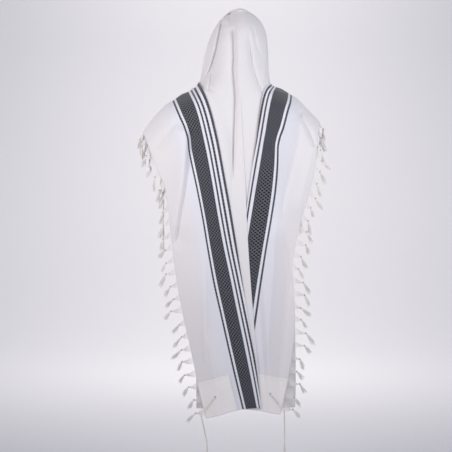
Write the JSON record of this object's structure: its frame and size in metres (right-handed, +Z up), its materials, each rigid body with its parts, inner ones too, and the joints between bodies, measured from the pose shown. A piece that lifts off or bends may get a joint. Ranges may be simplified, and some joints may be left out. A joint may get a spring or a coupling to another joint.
{
  "type": "tallit prayer shawl worn over the head",
  "caption": "Fringed wool prayer shawl with dark woven stripes, worn as a hood, its two ends thrown back over the shoulders.",
  "frame": {"origin": "inside the crown of the hood, on top of the head that holds the shawl up", "axes": "+Z up, +Y the way the wearer faces, +X to the wearer's right seen from behind"},
  "size_m": [0.8139, 0.3254, 1.8418],
  "materials": {
    "wool": "off-white woollen twill with charcoal woven stripes near each end",
    "patch_wool": "creamier reinforcing squares at the corners",
    "band_cloth": "plain woven neckband",
    "fringe_wool": "knotted wool fringe",
    "tzitzit_wool": "wound and knotted wool strings"
  },
  "bodies": {
    "root": {"hood_and_back": "wool", "left_under_layer": "wool", "right_under_layer": "wool", "left_flap": "wool", "right_flap": "wool", "neckband": "band_cloth", "left_back_patch": "patch_wool", "left_front_patch": "patch_wool", "right_back_patch": "patch_wool", "right_front_patch": "patch_wool", "left_fringe": "fringe_wool", "right_fringe": "fringe_wool", "left_back_tzitzit": "tzitzit_wool", "left_front_tzitzit": "tzitzit_wool", "right_back_tzitzit": "tzitzit_wool", "right_front_tzitzit": "tzitzit_wool"}
  },
  "joints": []
}
